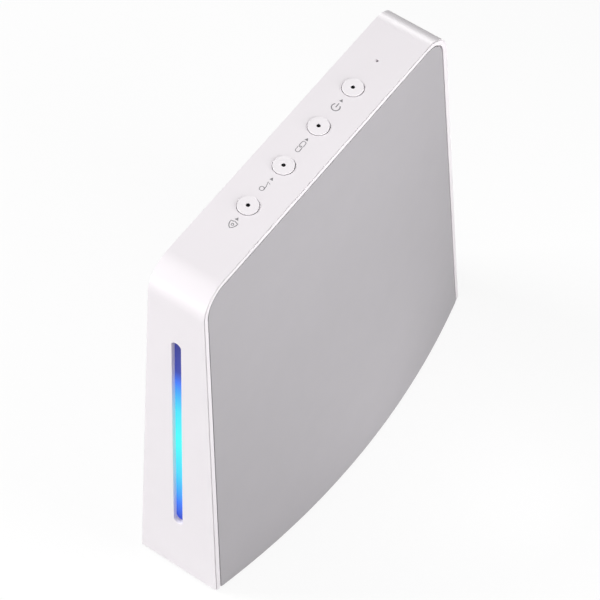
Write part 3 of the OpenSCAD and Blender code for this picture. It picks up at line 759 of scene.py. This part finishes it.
def ribbon(points, closed, width):
    """Left and right points of a line of that width."""
    count = len(points)
    left, right = [], []
    for i, (x, y) in enumerate(points):
        before = points[i - 1] if closed or i > 0 else (x, y)
        after = points[(i + 1) % count] if closed or i < count - 1 else (x, y)
        tangent = Vector((after[0] - before[0], after[1] - before[1])).normalized()
        side = Vector((-tangent.y, tangent.x)) * width / 2
        left.append((x + side.x, y + side.y))
        right.append((x - side.x, y - side.y))
    return left, right


def mark(name, place):
    """Raised print of a triangle and a symbol beside a button."""
    vertices, faces = [], []
    shift_x, shift_y = MARK_SHIFT[name]

    def add(left, right, closed):
        """Strip of print between a left and a right line of points."""
        start, count = len(vertices), len(left)
        for line in (left, right):
            for z in (HEIGHT - INK_ROOT, HEIGHT + INK):
                vertices.extend((x + shift_x, y + place + shift_y, z) for x, y in line)
        rails = [[start + rail * count + i for i in range(count)] for rail in (0, 1, 3, 2)]
        for i in range(count if closed else count - 1):
            j = (i + 1) % count
            for rail in range(4):
                one, two = rails[rail], rails[(rail + 1) % 4]
                faces.append((one[i], one[j], two[j], two[i]))
        if not closed:
            faces.append([rail[0] for rail in rails])
            faces.append([rail[-1] for rail in rails])

    tip = ARROW_PLACE[name]
    arrow = [(ARROW_TIP, tip), (ARROW_HALF_WIDTH, tip - ARROW_LENGTH)]
    add([(-x, y) for x, y in arrow], arrow, False)
    for points, closed, width in MARKS[name]():
        add(*ribbon(points, closed, width), closed)
    obj = new_object("mark_" + name, vertices, faces)
    dress(obj, "hub", "grey_panel", PRINT)


# Underside

def feet():
    """Four turned rubber feet with rounded rims."""
    low, high = (corner_point / MM for corner_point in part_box("feet"))
    radius = FOOT_RADIUS
    ring = radius - FOOT_RING
    profile = [(0, FOOT_HOLLOW), (ring - FOOT_SLOPE, FOOT_HOLLOW)]
    profile += [(ring, 0.0), (radius - FOOT_EDGE, 0.0)]
    profile += rounded(radius - FOOT_EDGE, FOOT_EDGE, FOOT_EDGE, -90, 0)
    profile += [(radius, high.z), (0, high.z)]
    shape = bmesh.new()
    for x in (low.x + radius, high.x - radius):
        for y in (low.y + radius, high.y - radius):
            one = turned("foot", profile, (x, y, 0), steps=64)
            shape.from_mesh(one.data)
            bpy.data.objects.remove(one)
    mesh = bpy.data.meshes.new("feet_pads")
    shape.to_mesh(mesh)
    shape.free()
    obj = bpy.data.objects.new("feet_pads", mesh)
    bpy.context.scene.collection.objects.link(obj)
    finish_edges(obj, 0)
    dress(obj, "hub", "rubber_dark", RUBBER, "feet")


def base_screws():
    """Screws with a cross recess in their heads."""
    obj = refined("base_screw_heads", "base_screws", SCREW_EDGE)
    low, high = (corner_point / MM for corner_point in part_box("base_screws"))
    head = SCREW_HEAD_RADIUS
    a, b = CROSS_WIDTH / 2, CROSS_LENGTH / 2
    cross = [(a, a), (a, b), (-a, b), (-a, a), (-b, a), (-b, -a)]
    cross += [(-x, -y) for x, y in cross]
    cutters = []
    for x in (low.x + head, high.x - head):
        for y in (low.y + head, high.y - head):
            place = Matrix.Translation((x, y, low.z)) @ Matrix.Rotation(math.radians(90), 4, "X")
            cutters.append(prism("cut", cross, -CROSS_DEPTH, CROSS_DEPTH, place))
    carve(obj, cutters)
    dress(obj, "hub", "screw_steel", SCREW, "base_screws")


# CAD nodes that show and keep their form: piece, node, rounding of the edges, slot and material
REFINED = (
    ("base_plate", "base", 0.15, "base_plastic", UNDERSIDE),
    ("rj45_jack_body", "rj45_jack", 0.15, "black_plastic", BLACK),
    ("rj45_contact_springs", "rj45_contacts", 0.08, "contact_gold", GOLD),
    ("usb_a_shell", "usb_a_socket", 0.1, "socket_shell", SHELL),
    ("usb_a_blade", "usb_a_tongue", 0.15, "black_plastic", BLACK),
    ("usb_c_shell", "usb_c_socket", 0.0, "socket_shell", SHELL),
    ("usb_c_blade", "usb_c_tongue", 0.1, "black_plastic", BLACK),
)

# CAD nodes that lie inside and keep their form
INNER = {
    "ballast": WEIGHT,
    "light_board": BOARD,
    "leds": LAMP,
    "light_screws": SCREW,
    "light_link": IVORY,
    "button_board": BOARD,
    "switches": SWITCH,
    "button_screws": SCREW,
    "button_header": IVORY,
    "microphone": GOLD,
    "mic_gasket": RUBBER,
    "main_board": BOARD,
    "soc_shield": TIN,
    "thermal_pad": PAD,
    "heat_spreader": ALUMINIUM,
    "radio_shield": TIN,
    "antenna_front": BRASS,
    "antenna_rear": BRASS,
    "buzzer": BLACK,
    "capacitors": SLEEVE,
}
INNER.update({"plunger_" + name: BLACK for name in BUTTON_NAMES})


def paint_inner():
    """Gives the carried-over CAD nodes their materials."""
    for node, paint in INNER.items():
        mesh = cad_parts[node].data
        mesh.materials.clear()
        mesh.materials.append(paint)


# Stage: floor, lamps and camera, in metres
FLOOR_REACH = 6.0
HUB_MIDDLE = (0, 0, 0.05)
SKY_LIGHT = 0.2

# Shade of the floor for the light it throws back and for the camera
FLOOR_BOUNCE = 0.6
FLOOR_SHADE = 0.95

# Share of plain white in what the camera sees of the floor
FLOOR_WHITE = 0.85


def seen_white(tree):
    """1 for rays that should meet a plain white background."""
    rays = tree.nodes.new("ShaderNodeLightPath")
    value = rays.outputs["Is Camera Ray"]
    for other in ("Is Glossy Ray", "Is Transmission Ray"):
        most = tree.nodes.new("ShaderNodeMath")
        most.operation = "MAXIMUM"
        tree.links.new(value, most.inputs[0])
        tree.links.new(rays.outputs[other], most.inputs[1])
        value = most.outputs["Value"]
    return value


def floor():
    """Wide pale floor that keeps a faint shadow."""
    made = bpy.data.materials.new("floor_paper")
    made.use_nodes = True
    tree = made.node_tree
    tree.nodes.clear()
    seen = seen_white(tree)
    shade = tree.nodes.new("ShaderNodeMapRange")
    shade.inputs["To Min"].default_value = FLOOR_BOUNCE
    shade.inputs["To Max"].default_value = FLOOR_SHADE
    tree.links.new(seen, shade.inputs["Value"])
    paper = tree.nodes.new("ShaderNodeBsdfDiffuse")
    tree.links.new(shade.outputs["Result"], paper.inputs["Color"])
    white = tree.nodes.new("ShaderNodeEmission")
    share = tree.nodes.new("ShaderNodeMath")
    share.operation = "MULTIPLY"
    share.inputs[1].default_value = FLOOR_WHITE
    tree.links.new(seen, share.inputs[0])
    mix = tree.nodes.new("ShaderNodeMixShader")
    tree.links.new(share.outputs["Value"], mix.inputs["Fac"])
    tree.links.new(paper.outputs["BSDF"], mix.inputs[1])
    tree.links.new(white.outputs["Emission"], mix.inputs[2])
    out = tree.nodes.new("ShaderNodeOutputMaterial")
    tree.links.new(mix.outputs["Shader"], out.inputs["Surface"])
    mesh = bpy.data.meshes.new("floor")
    corners = [(x, y, 0) for x, y in box_points(2 * FLOOR_REACH, 2 * FLOOR_REACH)]
    mesh.from_pydata(corners, [], [(0, 1, 2, 3)])
    mesh.materials.append(made)
    obj = bpy.data.objects.new("floor", mesh)
    bpy.context.scene.collection.objects.link(obj)


def sky(strength):
    """Even surrounding light that looks white to the camera."""
    world = bpy.data.worlds.new("studio")
    bpy.context.scene.world = world
    world.use_nodes = True
    tree = world.node_tree
    level = tree.nodes.new("ShaderNodeMapRange")
    level.inputs["To Min"].default_value = strength
    level.inputs["To Max"].default_value = 1.0
    tree.links.new(seen_white(tree), level.inputs["Value"])
    back = tree.nodes["Background"]
    back.inputs["Color"].default_value = (1, 1, 1, 1)
    tree.links.new(level.outputs["Result"], back.inputs["Strength"])


def lamp(name, place, size, watts, aim=HUB_MIDDLE, spread=180, glint=False):
    """Square soft lamp, aimed at the middle of the hub unless told otherwise.

    The spread of its beam is in degrees. A glint shows in the gloss alone.
    """
    data = bpy.data.lights.new(name, "AREA")
    data.size = size
    data.energy = watts
    data.spread = math.radians(spread)
    obj = bpy.data.objects.new(name, data)
    obj.location = place
    beam = Vector(aim) - Vector(place)
    obj.rotation_euler = beam.to_track_quat("-Z", "Y").to_euler()
    obj.visible_camera = False
    obj.visible_diffuse = not glint
    bpy.context.scene.collection.objects.link(obj)


# Camera, fitted to the edges, the button row and the slot in the photograph
CAMERA_AZIMUTH = 36.189
CAMERA_ELEVATION = 56.142
CAMERA_ROLL = -0.733
CAMERA_PLACE = (0.214654, -0.294523, 0.593753)
CAMERA_LENS = 175.0
CAMERA_SENSOR = 36.0


def camera():
    """Long lens from the upper right of the front."""
    azimuth, elevation = math.radians(CAMERA_AZIMUTH), math.radians(CAMERA_ELEVATION)
    back = Vector((math.sin(azimuth) * math.cos(elevation),
                   -math.cos(azimuth) * math.cos(elevation), math.sin(elevation)))
    right = Vector((math.cos(azimuth), math.sin(azimuth), 0))
    up = back.cross(right)
    axes = Matrix((right, up, back)).transposed().to_4x4()
    roll = Matrix.Rotation(math.radians(CAMERA_ROLL), 4, "Z")
    data = bpy.data.cameras.new("camera")
    data.sensor_width = CAMERA_SENSOR
    data.lens = CAMERA_LENS
    data.clip_start = 0.01
    data.clip_end = 50.0
    obj = bpy.data.objects.new("camera", data)
    obj.matrix_world = Matrix.Translation(CAMERA_PLACE) @ axes @ roll
    bpy.context.scene.collection.objects.link(obj)
    bpy.context.scene.camera = obj


band()
for side_name, direction in (("left", -1), ("right", 1)):
    cover("cover_" + side_name, direction)
    panel("panel_" + side_name, direction)
light_bar()
for button_name, button_place in zip(BUTTON_NAMES, BUTTON_PLACES):
    button(button_name, button_place)
    mark(button_name, button_place)
feet()
base_screws()
for piece_name, node_name, edge_width, slot_name, material in REFINED:
    dress(refined(piece_name, node_name, edge_width), "hub", slot_name, material, node_name)
paint_inner()

floor()
sky(SKY_LIGHT)
lamp("left_lamp", (-0.35, -0.15, 0.40), size=0.2, watts=1.97)
lamp("front_lamp", (-0.25, -0.70, 0.20), size=0.6, watts=1.65)
lamp("right_lamp", (0.30, -0.65, 0.15), size=0.5, watts=1.65)
lamp("side_lamp", (0.19, 0.02, 0.155), size=0.1, watts=0.325)
lamp("low_lamp", (0.078, 0.012, 0.022), size=0.02, watts=0.0016, aim=(0, 0.012, 0.004), spread=90)
lamp("back_lamp", (-0.30, 0.85, 0.30), size=0.25, watts=0.12)
lamp("front_glint", (-0.33, -0.85, 0.10), size=0.15, watts=3.4, glint=True)
lamp("back_glint", (-0.31, 0.78, 0.44), size=0.2, watts=7.0, glint=True)
camera()
bpy.context.scene.view_settings.view_transform = "Standard"
